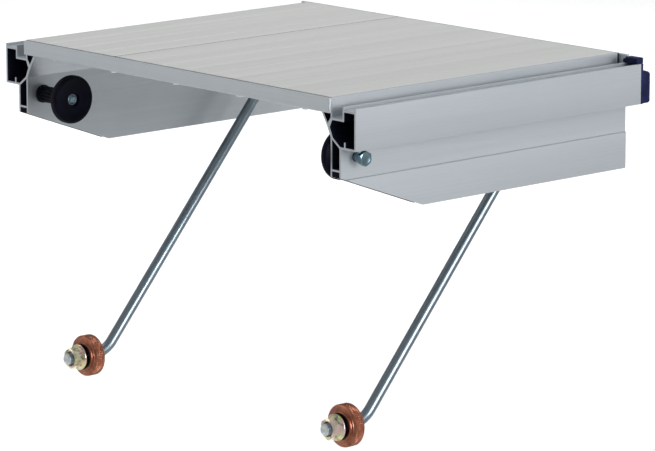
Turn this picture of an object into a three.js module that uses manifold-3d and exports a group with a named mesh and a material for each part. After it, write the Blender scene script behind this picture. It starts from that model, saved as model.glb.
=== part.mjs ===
// Outfeed table for a bench saw: an aluminium plank deck between two grooved side rails,
// two clamps that hook it to the saw, and two swinging struts that hold it up from below.
// Millimetres. +X is to the right, +Y to the back, +Z up.
// The origin is the middle of the front strip's face, which lies against the saw.

import * as THREE from 'three';
import { mergeVertices } from 'three/addons/utils/BufferGeometryUtils.js';
import Module from 'manifold-3d';

const wasm = await Module();
wasm.setup();

// Deck
const deckWidth = 450;
const deckDepth = 375;
const deckThickness = 12;
const stripCount = 13;
const sidePlankStrips = 4;
const topSkin = 2.5;
const bottomSkin = 2;
const plankWeb = 2;
const lineWidth = 1.2;
const lineDepth = 0.5;
const openSeam = 1.2;
const tightSeam = 0.3;
const tongueLength = 4;
const tongueThickness = 3.2;
const tongueDrop = 4.6;
const plankFit = 0.2;

// Front and rear strips with their seals
const stripThickness = 3;
const stripDrop = 0.6;
const flangeThickness = 2.5;
const flangeDepth = 10;
const frontSeal = 1;
const rearSeal = 2;
const rearStripReach = 11.5;
const flangeEndGap = 1;
const rearFlangeInset = 70;

// Side rail section, measured outwards from the deck's edge and down from its top
const wall = 2;
const grooveWidth = 14.2;
const grooveDepth = 19;
const lipDrop = 7;
const channelDepth = 3;
const railReach = 32;
const boxDrop = 46.7;
const ribHeight = 5;
const webReach = 12;
const bridgeDrop = 66.7;
const stepDrop = 75.5;
const stepProud = 1;
const panelDrop = 112;
const noseDrop = 73.8;
const noseLength = 103.5;
const braceReach = 15.9;
const braceApexDrop = 24.3;
const waistDrop = 28;
const waistInset = 6.4;
const waistWall = 3.2;
const splitDrop = 37.3;
const splitReach = 1;
const footReach = 11;
const slantWall = 2.6;

// End caps
const capPlate = 3;
const capPlug = 12;
const capNoseStart = 12.1;
const capNoseTop = 1;
const capNoseLength = 6;
const bumperDepth = 14;
const bumperStart = 15;
const bumperTopDrop = 12.5;
const bumperSlope = 4;
const bumperRound = 4;

// Clamps
const clampBack = 19;
const clampDrop = 56;
const boltDiameter = 8;
const boltFlats = 13;
const boltHead = 5.3;
const clampOpening = 8.5;
const webClearance = 0.5;
const neckedKnobLength = 50;
const flatKnobLength = 9;
const knobDiameter = 48;
const knobDisc = 9;
const knobEdge = 1.5;
const neckDiameter = 16.4;
const collarDiameter = 18;
const collarLength = 2.4;
const knobRecess = 3;
const recessDiameter = 14;
const bushLength = 17;
const bushDiameter = 11;
const boltEndDepth = 2;

// Struts
const strutInset = 33;
const pivotInset = 60.3;
const pivotDrop = 36;
const strutAngle = 49.5;
const strutDrop = 322.5;
const rodDiameter = 11;
const threadDiameter = 12;
const bendRadius = 30;
const eyeRadius = 11;
const eyeNeck = 8;
const endLength = 50.4;
const threadLength = 34.4;

// Strut brackets
const bracketSheet = 3;
const bracketWidth = 30;
const bracketLength = 70;
const cheekRadius = 13;
const cheekGap = 0.5;
const bracketRivetSpread = 25;
const pivotNutHeight = 6.8;
const pivotThreadProud = 2;

// Strut ends, counted from the rod's end towards the bend
const threadProud = 4.6;
const flangeNutHeight = 12;
const flangeNutFlats = 19;
const flangeNutFlange = 26;
const flangeNutRim = 3;
const clampGap = 2.2;
const washerThickness = 1.2;
const hubLength = 2.4;
const hubDiameter = 30;
const knurlLength = 12;
const knurlDiameter = 41.5;
const knurlEdge = 1.5;

// Blind rivets
const rivetDiameter = 4;
const rivetHead = 7.2;
const rivetCrown = 3.8;
const rivetHeadHeight = 1.4;
const rivetRim = 0.4;
const rivetBulb = 6;
const rivetBulbLength = 3;
const rivetBulbEdge = 1;
const webToRivet = 6.5;

// Pan-head screws that hold the strips
const screwDiameter = 4;
const screwHead = 7.6;
const screwCrown = 4.6;
const screwHeadHeight = 2.6;
const screwRim = 1.2;
const screwTail = 3;
const seamToScrew = 6.5;
const webToScrew = 6.5;
const frontScrewBack = 4.5;

// Clearances and roundness
const fit = 0.3;
const roundSides = 32;
const rodSides = 16;
const rivetSides = 16;
const bendSteps = 6;
const mergeDistance = 1e-4;
const cutMargin = 5;

// Derived places, in the deck's own frame: y = 0 at the rails' front ends, z = 0 on the deck's top
const halfDeck = deckWidth / 2;
const stripPitch = deckWidth / stripCount;
const stripHeight = deckThickness + flangeThickness - stripDrop;
const channelDrop = lipDrop + channelDepth;
const strutX = halfDeck - strutInset;
const pivotBack = deckDepth - pivotInset;
const strutTurn = THREE.MathUtils.degToRad(strutAngle);
const cornerBack = pivotBack - (strutDrop - pivotDrop) / Math.tan(strutTurn);
const rodEnd = cornerBack - endLength;
const nutFront = rodEnd + threadProud;
const flangeFace = nutFront + flangeNutHeight;
const washerFront = flangeFace + clampGap;
const hubFront = washerFront + washerThickness;
const knurlFront = hubFront + hubLength;
const seamX = halfDeck - sidePlankStrips * stripPitch;
const sideWebX = halfDeck - stripPitch;
const seamScrewX = seamX + seamToScrew;
const webScrewX = sideWebX - webToScrew;
const frontScrews = [-webScrewX, -seamScrewX, 0, seamScrewX, webScrewX];
const rearScrews = [-seamScrewX, 0, seamScrewX];
const bracketRivetX = sideWebX + webToRivet;
const bracketRivets = [pivotBack - bracketRivetSpread, pivotBack + bracketRivetSpread];

const aluminium = new THREE.MeshStandardMaterial({ color: 0xb9bcbc, roughness: 0.42, metalness: 0.85 });
const blackPlastic = new THREE.MeshStandardMaterial({ color: 0x17181d, roughness: 0.5, metalness: 0 });
const sealRubber = new THREE.MeshStandardMaterial({ color: 0x202124, roughness: 0.85, metalness: 0 });
const zincSteel = new THREE.MeshStandardMaterial({ color: 0x8f979c, roughness: 0.3, metalness: 1 });
const yellowZinc = new THREE.MeshStandardMaterial({ color: 0xb9ab78, roughness: 0.3, metalness: 1 });
const copperPlate = new THREE.MeshStandardMaterial({ color: 0x9a5c3c, roughness: 0.35, metalness: 1 });

const table = new THREE.Group();
table.position.set(0, stripThickness, stripDrop + stripHeight / 2);

// Solids and meshes

function solidOf(geometry) {
  const bare = geometry.clone();
  bare.deleteAttribute('normal');
  bare.deleteAttribute('uv');
  const merged = mergeVertices(bare, mergeDistance);
  const triangles = [];
  for (let first = 0; first < merged.index.count; first += 3) {
    const corners = [0, 1, 2].map((step) => merged.index.getX(first + step));
    if (new Set(corners).size === 3) triangles.push(...corners);
  }
  return new wasm.Manifold(new wasm.Mesh({
    numProp: 3,
    vertProperties: new Float32Array(merged.getAttribute('position').array),
    triVerts: new Uint32Array(triangles),
  }));
}

function addPiece(name, solid, material) {
  const mesh = solid.getMesh();
  const geometry = new THREE.BufferGeometry();
  geometry.setAttribute('position', new THREE.BufferAttribute(mesh.vertProperties, 3));
  geometry.setIndex(new THREE.BufferAttribute(mesh.triVerts, 1));
  geometry.computeVertexNormals();
  const piece = new THREE.Mesh(geometry, material);
  piece.name = name;
  table.add(piece);
}

// Basic shapes, each a closed solid

function block(x, y, z) {
  const geometry = new THREE.BoxGeometry(x[1] - x[0], y[1] - y[0], z[1] - z[0]);
  geometry.translate((x[0] + x[1]) / 2, (y[0] + y[1]) / 2, (z[0] + z[1]) / 2);
  return solidOf(geometry);
}

const xAxis = new THREE.Vector3(1, 0, 0);
const yAxis = new THREE.Vector3(0, 1, 0);
const zAxis = new THREE.Vector3(0, 0, 1);

// A section drawn across X and Z, run along Y
function runAlongY(shape, front, back) {
  const geometry = new THREE.ExtrudeGeometry(shape, { depth: back - front, bevelEnabled: false });
  geometry.applyMatrix4(new THREE.Matrix4().makeBasis(xAxis, zAxis, yAxis.clone().negate()));
  geometry.translate(0, back, 0);
  return solidOf(geometry);
}

// A section drawn across Y and Z, run along X
function runAlongX(shape, left, right) {
  const geometry = new THREE.ExtrudeGeometry(shape, { depth: right - left, bevelEnabled: false });
  geometry.applyMatrix4(new THREE.Matrix4().makeBasis(yAxis, zAxis, xAxis));
  geometry.translate(left, 0, 0);
  return solidOf(geometry);
}

// An outline drawn across X and Y, run along Z
function runAlongZ(shape, low, high) {
  const geometry = new THREE.ExtrudeGeometry(shape, { depth: high - low, bevelEnabled: false });
  geometry.translate(0, 0, low);
  return solidOf(geometry);
}

function shapeOf(points) {
  return new THREE.Shape(points.map(([across, up]) => new THREE.Vector2(across, up)));
}

// A turned profile of [radius, distance] points: distance runs along the given direction from the place
function turned(profile, direction, place, sides = roundSides) {
  const points = profile.map(([radius, distance]) => new THREE.Vector2(radius, distance));
  const geometry = new THREE.LatheGeometry(points, sides);
  geometry.applyQuaternion(new THREE.Quaternion().setFromUnitVectors(yAxis, direction));
  geometry.translate(...place);
  return solidOf(geometry);
}

function rod(radius, length, direction, place, sides = roundSides) {
  return turned([[0, 0], [radius, 0], [radius, length], [0, length]], direction, place, sides);
}

// A closed profile for a ring, from its inner radius to its outer radius
function ring(inner, outer, length, direction, place, sides = roundSides) {
  const profile = [[inner, 0], [outer, 0], [outer, length], [inner, length], [inner, 0]];
  return turned(profile, direction, place, sides);
}

function hexagon(flats, length, direction, place) {
  return rod(flats / Math.sqrt(3), length, direction, place, 6);
}

// Deck planks: hollow sections with a web under each line of the top

const seams = [sidePlankStrips, stripCount - sidePlankStrips];

function plankOutline(left, right, tongues) {
  const edge = (x, outward, kind) => {
    if (kind === 0) return [];
    const slack = kind < 0 ? plankFit : 0;
    const tip = x + kind * outward * (tongueLength + slack);
    const high = -tongueDrop + slack;
    const low = -tongueDrop - tongueThickness - slack;
    return [[x, high], [tip, high], [tip, low], [x, low]];
  };
  return [
    [left, 0], [right, 0], ...edge(right, 1, tongues[1]), [right, -deckThickness],
    [left, -deckThickness], ...edge(left, -1, tongues[0]).reverse(),
  ];
}

function plank(firstStrip, lastStrip, seamGaps, tongues) {
  const left = -halfDeck + firstStrip * stripPitch + seamGaps[0];
  const right = -halfDeck + lastStrip * stripPitch - seamGaps[1];
  const lines = [];
  for (let strip = firstStrip + 1; strip < lastStrip; strip++) lines.push(-halfDeck + strip * stripPitch);
  const margin = (kind) => plankWeb + (kind < 0 ? tongueLength + plankFit : 0);
  const starts = [left + margin(tongues[0]), ...lines.map((line) => line + plankWeb / 2)];
  const ends = [...lines.map((line) => line - plankWeb / 2), right - margin(tongues[1])];
  const length = [-cutMargin, deckDepth + cutMargin];
  let solid = runAlongY(shapeOf(plankOutline(left, right, tongues)), frontSeal, deckDepth);
  starts.forEach((start, index) => {
    solid = solid.subtract(block([start, ends[index]], length, [-deckThickness + bottomSkin, -topSkin]));
  });
  for (const line of lines) {
    const cut = shapeOf([[line - lineWidth, lineDepth], [line, -lineDepth], [line + lineWidth, lineDepth]]);
    solid = solid.subtract(runAlongY(cut, ...length));
  }
  for (const hole of plankHoles()) solid = solid.subtract(hole);
  return solid;
}

// Screws come up through a strip's flange, and rivets through a bracket's base, into the bottom skin

const stripSeat = -deckThickness - flangeThickness;
const bracketSeat = -deckThickness - bracketSheet;
const rearScrewBack = deckDepth - frontScrewBack;

function stripScrew(x, y) {
  const end = -deckThickness + bottomSkin - stripSeat + screwTail;
  const shank = screwDiameter / 2;
  return turned([
    [0, -screwHeadHeight], [screwCrown / 2, -screwHeadHeight], [screwHead / 2, -screwRim], [screwHead / 2, 0],
    [shank, 0], [shank, end], [0, end],
  ], zAxis, [x, y, stripSeat], rivetSides);
}

function bracketRivet(x, y) {
  const grip = -deckThickness + bottomSkin - bracketSeat;
  const end = grip + rivetBulbLength;
  const shank = rivetDiameter / 2;
  return turned([
    [0, -rivetHeadHeight], [rivetCrown / 2, -rivetHeadHeight], [rivetHead / 2, -rivetRim],
    [rivetHead / 2, 0], [shank, 0], [shank, grip], [rivetBulb / 2, grip + rivetBulbEdge],
    [rivetBulb / 2, end - rivetBulbEdge], [shank, end], [0, end],
  ], zAxis, [x, y, bracketSeat], rivetSides);
}

function uprightHole(diameter, x, y, low, high) {
  return rod(diameter / 2 + fit, high - low, zAxis, [x, y, low], rivetSides);
}

function plankHoles() {
  const low = -deckThickness - cutMargin;
  const high = -deckThickness + bottomSkin + fit;
  const holes = [
    ...frontScrews.map((x) => uprightHole(screwDiameter, x, frontScrewBack, low, high)),
    ...rearScrews.map((x) => uprightHole(screwDiameter, x, rearScrewBack, low, high)),
  ];
  for (const side of [-1, 1]) {
    holes.push(...bracketRivets.map((y) => uprightHole(rivetDiameter, side * bracketRivetX, y, low, high)));
  }
  return holes;
}

addPiece('deck_plank_left', plank(0, seams[0], [wall + plankFit, openSeam / 2], [0, 1]), aluminium);
addPiece('deck_plank_middle', plank(seams[0], seams[1], [openSeam / 2, tightSeam / 2], [-1, -1]), aluminium);
addPiece('deck_plank_right', plank(seams[1], stripCount, [tightSeam / 2, wall + plankFit], [1, 0]), aluminium);

// Front and rear strips: an upright leg at the plank ends and a flange under the planks

const frontFlangeHalf = halfDeck - braceReach - flangeEndGap;
const rearFlangeHalf = halfDeck - rearFlangeInset;
const rearLeg = deckDepth + rearSeal;

function strip(legHalf, legFront, flangeHalf, flangeFront, screws, screwBack) {
  const leg = block([-legHalf, legHalf], [legFront, legFront + stripThickness], [stripSeat, -stripDrop]);
  const flange = block(
    [-flangeHalf, flangeHalf], [flangeFront, flangeFront + flangeDepth], [stripSeat, -deckThickness]);
  let solid = leg.add(flange);
  for (const x of screws) {
    const low = stripSeat - cutMargin;
    solid = solid.subtract(uprightHole(screwDiameter, x, screwBack, low, -deckThickness + cutMargin));
  }
  return solid;
}

const frontStrip = strip(halfDeck, -stripThickness, frontFlangeHalf, 0, frontScrews, frontScrewBack);
addPiece('front_strip', frontStrip, aluminium);
const rearStripHalf = halfDeck + rearStripReach;
const rearStrip = strip(rearStripHalf, rearLeg, rearFlangeHalf, rearLeg - flangeDepth, rearScrews, rearScrewBack);
addPiece('rear_strip', rearStrip, aluminium);
const sealHalf = halfDeck - wall - plankFit;
addPiece('front_seal', block([-sealHalf, sealHalf], [0, frontSeal], [-deckThickness, -stripDrop]), sealRubber);
addPiece('rear_seal', block([-halfDeck, halfDeck], [deckDepth, rearLeg], [-deckThickness, -stripDrop / 2]),
  sealRubber);
frontScrews.forEach((x, index) => {
  addPiece(`front_screw_${index + 1}`, stripScrew(x, frontScrewBack), zincSteel);
});
rearScrews.forEach((x, index) => {
  addPiece(`rear_screw_${index + 1}`, stripScrew(x, rearScrewBack), zincSteel);
});

// Side rails: points are [out from the deck's edge, height]

function braceFace(height) {
  const share = (-height - deckThickness) / (waistDrop - deckThickness);
  return -braceReach + share * (braceReach - waistInset);
}

function diagonalFace(out) {
  const floor = boxDrop - wall;
  return -splitDrop - (out - splitReach) / (footReach - splitReach) * (floor - splitDrop);
}

function railSection(side) {
  const lipWall = grooveWidth + wall;
  const outerWall = railReach - wall;
  const boxFloor = -boxDrop + wall;
  const underGroove = -grooveDepth - wall;
  const webInside = webReach - wall;
  const ledgeUnder = -deckThickness - wall;
  const outline = [
    [-wall, 0], [0, 0], [0, -grooveDepth], [grooveWidth, -grooveDepth], [grooveWidth, -lipDrop],
    [lipWall, -lipDrop], [lipWall, -channelDrop], [outerWall, -channelDrop], [outerWall, -lipDrop],
    [railReach, -lipDrop], [railReach, -boxDrop], [webReach, -boxDrop], [webReach, -stepDrop],
    [webReach + stepProud, -stepDrop - stepProud], [webReach + stepProud, -panelDrop],
    [webInside, -panelDrop], [webInside, -bridgeDrop - wall], [0, -bridgeDrop - wall], [0, -panelDrop],
    [-wall, -panelDrop], [-wall, -splitDrop], [-waistInset, -waistDrop],
    [-braceReach, -deckThickness], [-wall, -deckThickness],
  ];
  const box = [
    [lipWall, -channelDrop - wall], [outerWall, -channelDrop - wall], [outerWall, boxFloor],
    [lipWall + wall, boxFloor], [lipWall + wall, boxFloor + ribHeight], [lipWall, boxFloor + ribHeight],
    [lipWall, boxFloor], [footReach, boxFloor], [splitReach, -splitDrop],
    [waistWall - waistInset, -waistDrop], [0, underGroove], [lipWall, underGroove],
  ];
  const braceHollow = [
    [-wall, ledgeUnder], [-wall, -grooveDepth], [braceFace(-braceApexDrop) + slantWall, -braceApexDrop],
    [braceFace(ledgeUnder) + slantWall, ledgeUnder],
  ];
  const webHollow = [
    [0, diagonalFace(0) - slantWall], [0, -bridgeDrop], [webInside, -bridgeDrop],
    [webInside, diagonalFace(webInside) - slantWall],
  ];
  const place = ([out, height]) => [side * (halfDeck + out), height];
  return [outline, box, braceHollow, webHollow].map((points) => shapeOf(points.map(place)));
}

function rail(side) {
  const below = -panelDrop - cutMargin;
  const slope = (panelDrop - noseDrop) / noseLength;
  const nose = runAlongX(shapeOf([
    [-cutMargin, below], [noseLength + cutMargin / slope, below], [-cutMargin, -noseDrop + cutMargin * slope],
  ]), -halfDeck - railReach, halfDeck + railReach);
  const outward = xAxis.clone().multiplyScalar(side);
  const boltHole = rod(boltDiameter / 2 + webClearance, webReach + wall + 2 * cutMargin, outward,
    [side * (halfDeck - wall - cutMargin), clampBack, -clampDrop]);
  const [outline, ...hollows] = railSection(side);
  let solid = runAlongY(outline, 0, deckDepth).subtract(nose).subtract(boltHole);
  for (const hollow of hollows) solid = solid.subtract(runAlongY(hollow, -cutMargin, deckDepth + cutMargin));
  return solid;
}

// End caps: a plate with a plug inside the box and a bumper behind, and on the right a nose on the lips

function endCap(side) {
  const span = (from, to) => [side * (halfDeck + from), side * (halfDeck + to)].sort((a, b) => a - b);
  const back = deckDepth + capPlate;
  const plate = block(span(grooveWidth, railReach), [deckDepth, back], [-boxDrop, -lipDrop]);
  const plug = block(
    span(grooveWidth + wall + fit, railReach - wall - fit), [deckDepth - capPlug, deckDepth],
    [-boxDrop + wall + ribHeight + fit, -channelDrop - wall - fit]);
  const nose = block(
    span(capNoseStart, railReach), [deckDepth - capNoseLength, back], [-lipDrop, -capNoseTop]);
  const rear = deckDepth + bumperDepth;
  const profile = new THREE.Shape();
  profile.moveTo(deckDepth, -boxDrop);
  profile.lineTo(deckDepth, -bumperTopDrop);
  profile.lineTo(rear, -bumperTopDrop - bumperSlope);
  profile.lineTo(rear, -boxDrop + bumperRound);
  profile.absarc(rear - bumperRound, -boxDrop + bumperRound, bumperRound, 0, -Math.PI / 2, true);
  profile.closePath();
  const [near, far] = span(bumperStart, railReach);
  const plan = new THREE.Shape();
  plan.moveTo(near, deckDepth);
  plan.lineTo(far, deckDepth);
  plan.lineTo(far, rear - bumperRound);
  plan.absarc(far - bumperRound, rear - bumperRound, bumperRound, 0, Math.PI / 2);
  plan.lineTo(near + bumperRound, rear);
  plan.absarc(near + bumperRound, rear - bumperRound, bumperRound, Math.PI / 2, Math.PI);
  plan.closePath();
  const bumper = runAlongX(profile, near, far).intersect(runAlongZ(plan, -boxDrop - cutMargin, 0));
  const cap = plate.add(plug).add(bumper);
  return side > 0 ? cap.add(nose) : cap;
}

// Clamps: the bolt's head stands off the outer web, and the knob on its end bears on the inner web.
// The left knob has a long neck, and the right one lies flat against the web.

function clampBolt(direction, side, knobLength) {
  const under = [side * (halfDeck + webReach + clampOpening), clampBack, -clampDrop];
  const shankLength = clampOpening + webReach + wall + knobLength - boltEndDepth;
  const shank = rod(boltDiameter / 2, shankLength, direction.clone().negate(), under);
  return hexagon(boltFlats, boltHead, direction, under).add(shank);
}

const boltBore = boltDiameter / 2 + fit;
const bushBore = bushDiameter / 2 + fit;
const knobRim = knobDiameter / 2;
const neckedBushStart = neckedKnobLength - knobRecess - bushLength;

// The rim's inner edge, the face and the recess in it, up to the bush
function knobFace(length) {
  return [
    [knobRim, length - knobEdge], [knobRim - knobEdge, length], [recessDiameter / 2, length],
    [recessDiameter / 2, length - knobRecess], [bushBore, length - knobRecess],
  ];
}

function neckedKnob(inward, seat) {
  const bore = boltBore + fit;
  const disc = neckedKnobLength - knobDisc;
  return turned([
    [bore, fit], [collarDiameter / 2, fit], [collarDiameter / 2, collarLength],
    [neckDiameter / 2, collarLength], [neckDiameter / 2, disc], [knobRim - knobEdge, disc],
    [knobRim, disc + knobEdge], ...knobFace(neckedKnobLength), [bushBore, neckedBushStart - fit],
    [bore, neckedBushStart - fit], [bore, fit],
  ], inward, seat);
}

// The flat knob's back leans away from the rail where the rail's side leans in above the web
function flatKnob(inward, seat) {
  const shoulder = clampDrop - splitDrop - fit;
  const lean = (waistInset - wall) / (splitDrop - waistDrop);
  const rimBack = fit + (knobRim - shoulder) * lean;
  return turned([
    [bushBore, fit], [shoulder, fit], [knobRim, rimBack], ...knobFace(flatKnobLength), [bushBore, fit],
  ], inward, seat);
}

const clamps = {
  left: { knob: neckedKnob, length: neckedKnobLength, bushStart: neckedBushStart, bushLength },
  right: {
    knob: flatKnob, length: flatKnobLength, bushStart: fit, bushLength: flatKnobLength - knobRecess - fit,
  },
};

// Struts: a rod with an eye at its pivot, a bend, and a level threaded end that points to the front

class RodPath extends THREE.Curve {
  constructor(stations) {
    super();
    this.stations = stations;
  }

  station(share) {
    return this.stations[Math.round(share * (this.stations.length - 1))];
  }

  getPointAt(share) {
    return this.station(share).place.clone();
  }

  getTangentAt(share) {
    return this.station(share).heading.clone();
  }
}

function strutStations(x) {
  const at = (y, z) => new THREE.Vector3(x, y, z);
  const slope = at(-Math.cos(strutTurn), -Math.sin(strutTurn)).setX(0);
  const tangent = bendRadius * Math.tan(strutTurn / 2);
  const centre = at(cornerBack - tangent, -strutDrop + bendRadius);
  const stations = [{ place: at(pivotBack, -pivotDrop).addScaledVector(slope, eyeNeck), heading: slope }];
  for (let step = 0; step <= bendSteps; step++) {
    const turn = strutTurn * (1 - step / bendSteps);
    const outward = at(Math.sin(turn), -Math.cos(turn)).setX(0);
    const heading = at(-Math.cos(turn), -Math.sin(turn)).setX(0);
    stations.push({ place: centre.clone().addScaledVector(outward, bendRadius), heading });
  }
  stations.push({ place: at(rodEnd + threadLength / 2, -strutDrop), heading: at(-1, 0).setX(0) });
  return stations;
}

function strut(x) {
  const stations = strutStations(x);
  const round = new THREE.Shape().absarc(0, 0, rodDiameter / 2, 0, Math.PI * 2);
  const path = new RodPath(stations);
  const shank = solidOf(new THREE.ExtrudeGeometry(round, {
    steps: stations.length - 1, curveSegments: rodSides, extrudePath: path, bevelEnabled: false,
  }));
  const thread = rod(threadDiameter / 2, threadLength, yAxis, [x, rodEnd, -strutDrop]);
  const eye = rod(eyeRadius, rodDiameter, xAxis, [x - rodDiameter / 2, pivotBack, -pivotDrop]);
  const pivotHole = rod(boltBore, rodDiameter + 2 * cutMargin, xAxis,
    [x - rodDiameter / 2 - cutMargin, pivotBack, -pivotDrop]);
  return shank.add(thread).add(eye).subtract(pivotHole);
}

const cheekInside = rodDiameter / 2 + cheekGap;
const cheekOutside = cheekInside + bracketSheet;

function bracket(x, rivetX) {
  const base = block(
    [x - bracketWidth / 2, x + bracketWidth / 2],
    [pivotBack - bracketLength / 2, pivotBack + bracketLength / 2], [bracketSeat, -deckThickness]);
  const cheek = new THREE.Shape();
  cheek.moveTo(pivotBack + cheekRadius, -deckThickness - bracketSheet / 2);
  cheek.lineTo(pivotBack - cheekRadius, -deckThickness - bracketSheet / 2);
  cheek.lineTo(pivotBack - cheekRadius, -pivotDrop);
  cheek.absarc(pivotBack, -pivotDrop, cheekRadius, Math.PI, 2 * Math.PI);
  cheek.closePath();
  const cheeks = [[-cheekOutside, -cheekInside], [cheekInside, cheekOutside]];
  let solid = base;
  for (const [from, to] of cheeks) solid = solid.add(runAlongX(cheek, x + from, x + to));
  solid = solid.subtract(rod(boltBore, 2 * (cheekOutside + cutMargin), xAxis,
    [x - cheekOutside - cutMargin, pivotBack, -pivotDrop]));
  for (const y of bracketRivets) {
    const low = bracketSeat - cutMargin;
    solid = solid.subtract(uprightHole(rivetDiameter, rivetX, y, low, -deckThickness + cutMargin));
  }
  return solid;
}

function pivotBolt(outward, seat) {
  const length = 2 * cheekOutside + pivotNutHeight + pivotThreadProud;
  const head = hexagon(boltFlats, boltHead, outward.clone().negate(), seat);
  return head.add(rod(boltDiameter / 2, length, outward, seat));
}

function hexNut(flats, height, bore, direction, place) {
  return hexagon(flats, height, direction, place)
    .subtract(rod(bore, height + 2 * cutMargin, direction,
      new THREE.Vector3(...place).addScaledVector(direction, -cutMargin).toArray()));
}

// Strut ends: flange nut, thrust washer and knurled nut on the thread

const threadBore = threadDiameter / 2 + fit;

function flangeNut(x) {
  const rimFront = flangeNutHeight - flangeNutRim;
  const hex = hexNut(flangeNutFlats, flangeNutHeight, threadBore, yAxis, [x, nutFront, -strutDrop]);
  const rim = turned([
    [threadBore, rimFront], [flangeNutFlats / 2, rimFront],
    [flangeNutFlange / 2, flangeNutHeight - flangeNutRim / 2], [flangeNutFlange / 2, flangeNutHeight],
    [threadBore, flangeNutHeight], [threadBore, rimFront],
  ], yAxis, [x, nutFront, -strutDrop]);
  return hex.add(rim);
}

function knurledNut(x) {
  const edge = knurlDiameter / 2;
  const total = hubLength + knurlLength;
  return turned([
    [threadBore, 0], [hubDiameter / 2, 0], [hubDiameter / 2, hubLength], [edge - knurlEdge, hubLength],
    [edge, hubLength + knurlEdge], [edge, total - knurlEdge], [edge - knurlEdge, total], [threadBore, total],
    [threadBore, 0],
  ], yAxis, [x, hubFront, -strutDrop]);
}

for (const [name, side] of [['left', -1], ['right', 1]]) {
  const outward = xAxis.clone().multiplyScalar(side);
  const inward = outward.clone().negate();
  const webSeat = [side * (halfDeck - wall), clampBack, -clampDrop];
  const clamp = clamps[name];
  const bushSeat = [side * (halfDeck - wall - clamp.bushStart), clampBack, -clampDrop];
  const strutAt = side * strutX;
  const pivotSeat = [side * (strutX - cheekOutside), pivotBack, -pivotDrop];
  const pivotNutSeat = [side * (strutX + cheekOutside), pivotBack, -pivotDrop];
  addPiece(`rail_${name}`, rail(side), aluminium);
  addPiece(`end_cap_${name}`, endCap(side), blackPlastic);
  addPiece(`clamp_bolt_${name}`, clampBolt(outward, side, clamp.length), zincSteel);
  addPiece(`knob_${name}`, clamp.knob(inward, webSeat), blackPlastic);
  const bush = ring(boltBore, bushDiameter / 2, clamp.bushLength, inward, bushSeat);
  addPiece(`knob_bush_${name}`, bush, zincSteel);
  addPiece(`strut_bracket_${name}`, bracket(strutAt, side * bracketRivetX), zincSteel);
  bracketRivets.forEach((y, index) => {
    addPiece(`bracket_rivet_${name}_${index + 1}`, bracketRivet(side * bracketRivetX, y), aluminium);
  });
  addPiece(`pivot_bolt_${name}`, pivotBolt(outward, pivotSeat), zincSteel);
  addPiece(`pivot_nut_${name}`, hexNut(boltFlats, pivotNutHeight, boltBore, outward, pivotNutSeat), zincSteel);
  addPiece(`strut_${name}`, strut(strutAt), zincSteel);
  addPiece(`flange_nut_${name}`, flangeNut(strutAt), yellowZinc);
  const washerSeat = [strutAt, washerFront, -strutDrop];
  const washer = ring(threadBore, flangeNutFlange / 2, washerThickness, yAxis, washerSeat);
  addPiece(`thrust_washer_${name}`, washer, blackPlastic);
  addPiece(`knurled_nut_${name}`, knurledNut(strutAt), copperPlate);
}

export default table;
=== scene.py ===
import math

import bmesh
import bpy
from mathutils import Matrix, Vector


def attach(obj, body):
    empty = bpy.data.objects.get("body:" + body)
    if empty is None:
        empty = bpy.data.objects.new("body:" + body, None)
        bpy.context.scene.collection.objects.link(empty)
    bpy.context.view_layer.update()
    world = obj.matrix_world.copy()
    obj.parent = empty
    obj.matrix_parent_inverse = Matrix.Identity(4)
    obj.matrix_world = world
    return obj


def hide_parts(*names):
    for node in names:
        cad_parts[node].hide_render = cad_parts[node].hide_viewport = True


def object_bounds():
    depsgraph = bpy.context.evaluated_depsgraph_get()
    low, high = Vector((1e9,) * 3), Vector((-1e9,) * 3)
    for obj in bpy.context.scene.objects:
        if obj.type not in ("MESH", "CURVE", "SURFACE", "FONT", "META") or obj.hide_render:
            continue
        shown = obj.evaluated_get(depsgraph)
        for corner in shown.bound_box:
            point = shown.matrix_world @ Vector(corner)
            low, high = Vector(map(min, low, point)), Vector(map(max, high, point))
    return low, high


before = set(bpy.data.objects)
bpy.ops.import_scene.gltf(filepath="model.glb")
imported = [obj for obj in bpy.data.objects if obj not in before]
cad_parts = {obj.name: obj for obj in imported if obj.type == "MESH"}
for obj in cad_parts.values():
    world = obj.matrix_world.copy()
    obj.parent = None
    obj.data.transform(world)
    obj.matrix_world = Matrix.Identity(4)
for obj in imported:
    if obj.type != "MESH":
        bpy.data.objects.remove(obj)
cadLow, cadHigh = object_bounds()
print("frame loaded:", len(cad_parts), "nodes")

# Shapes are drawn in millimetres in the deck's own frame: x from its middle, y from the rails' front ends,
# z from the deck's top. One shift takes them into the row frame.
deckShift = Vector((0.0, 3.0, 7.55))
toMetres = 0.001
deck = {"half": 225.0, "depth": 375.0, "thickness": 12.0, "strips": 13}
linePitch = 2 * deck["half"] / deck["strips"]
sides = (("left", -1), ("right", 1))
rootBody = "deck_frame"


# Materials

def srgb(hexText):
    values = [int(hexText[start:start + 2], 16) / 255 for start in (1, 3, 5)]
    linear = [value / 12.92 if value <= 0.04045 else ((value + 0.055) / 1.055) ** 2.4 for value in values]
    return (*linear, 1.0)


# Scale of a pattern from the sizes of its grain in millimetres
def perMetre(*sizes):
    return [1 / (size * toMetres) for size in sizes]


# An input is a value, a socket, or a node that gives its first live output.
def addNode(tree, kind, inputs=None, **settings):
    node = tree.nodes.new(kind)
    for name, value in settings.items():
        setattr(node, name, value)
    for name, value in (inputs or {}).items():
        if isinstance(value, bpy.types.Node):
            value = next(output for output in value.outputs if output.enabled)
        if isinstance(value, bpy.types.NodeSocket):
            tree.links.new(value, node.inputs[name])
        else:
            node.inputs[name].default_value = value
    return node


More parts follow.
